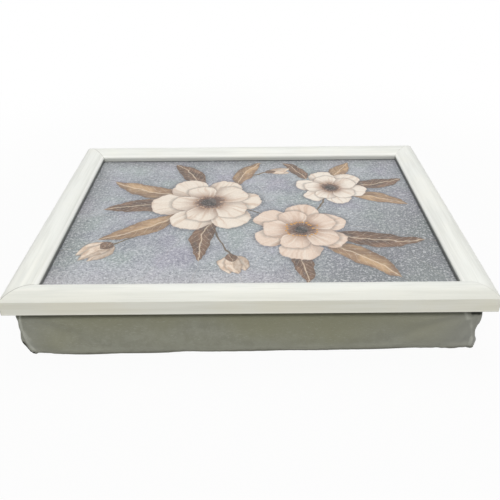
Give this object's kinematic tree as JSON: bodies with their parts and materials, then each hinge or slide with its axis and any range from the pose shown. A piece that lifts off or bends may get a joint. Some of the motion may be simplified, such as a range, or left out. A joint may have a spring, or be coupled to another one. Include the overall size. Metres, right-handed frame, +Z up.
{
  "type": "lap tray with cushion",
  "caption": "Rectangular lap tray: a mitred white wooden frame with a domed moulding round a recessed printed board, over a bead-filled cloth cushion.",
  "frame": {"origin": "Middle of the cushion's flat underside, where the tray rests on a lap or a table", "axes": "+X along the tray's length, +Y away from the person who uses it, +Z up out of the tray's surface"},
  "size_m": [0.44, 0.34, 0.07],
  "materials": {
    "painted_rail": "white eggshell paint over a faint wood grain",
    "fixings": "bright zinc",
    "print": "matt printed melamine",
    "hardboard": "smooth brown hardboard",
    "lining_cloth": "thin nonwoven cloth",
    "cushion_cloth": "plain grey-olive polycotton",
    "beads": "white expanded beads"
  },
  "bodies": {
    "root": {"rail_front": "painted_rail", "rail_back": "painted_rail", "rail_left": "painted_rail", "rail_right": "painted_rail", "corner_v_nails": "fixings", "board_points": "fixings", "hem_staples": "fixings", "printed_laminate": "print", "tray_board": "hardboard", "cushion_lining": "lining_cloth", "cushion_base": "cushion_cloth", "cushion_front": "cushion_cloth", "cushion_back": "cushion_cloth", "cushion_left": "cushion_cloth", "cushion_right": "cushion_cloth", "bead_filling": "beads"}
  },
  "joints": []
}
